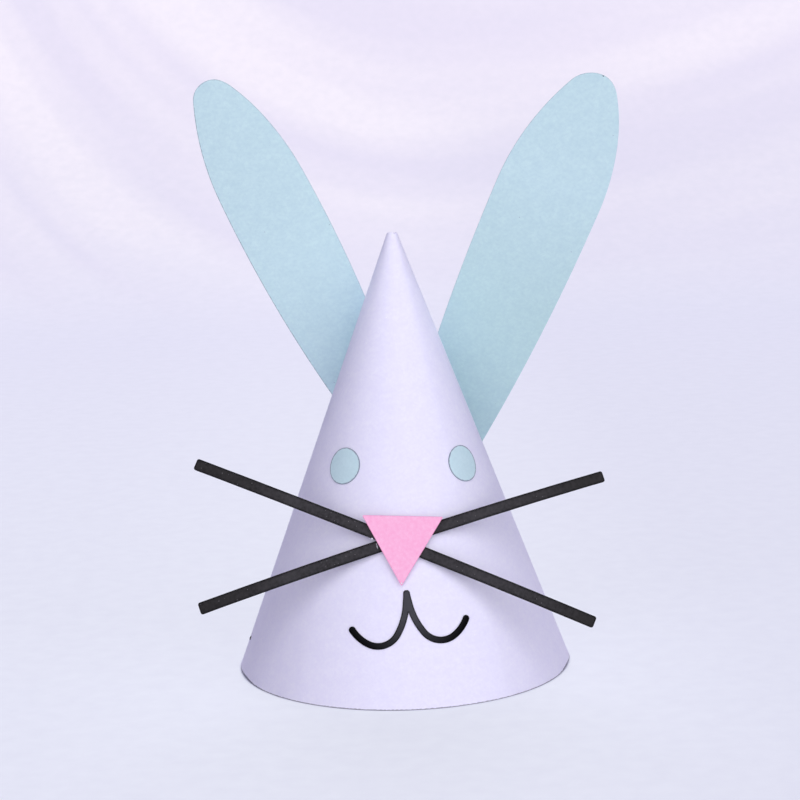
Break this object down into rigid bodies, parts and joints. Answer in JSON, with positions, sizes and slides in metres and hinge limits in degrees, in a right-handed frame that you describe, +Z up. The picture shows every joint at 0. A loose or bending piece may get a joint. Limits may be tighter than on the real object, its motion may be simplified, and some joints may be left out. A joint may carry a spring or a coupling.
{
  "type": "paper party hat",
  "caption": "Cone-shaped paper party hat with a rabbit face: long leaf-shaped ears, crossed whisker strips, a triangular nose, round eyes and a curled mouth.",
  "frame": {"origin": "on the axis of the cone, in the plane of its rim, where the head goes in", "axes": "+Z up along the axis of the cone, towards its tip; the face looks towards -Y; +X is to the right of someone who looks at the face"},
  "size_m": [0.1521, 0.12, 0.2138],
  "materials": {
    "lilac_card": "matte",
    "blue_card": "matte",
    "black_card": "matte",
    "pink_card": "matte",
    "blue_paper": "matte",
    "black_paper": "matte"
  },
  "bodies": {
    "root": {"hat_cone": "lilac_card", "ear_left": "blue_card", "ear_right": "blue_card", "whisker_falling": "black_card", "whisker_rising": "black_card", "nose": "pink_card", "eye_left": "blue_paper", "eye_right": "blue_paper", "mouth": "black_paper"}
  },
  "joints": []
}
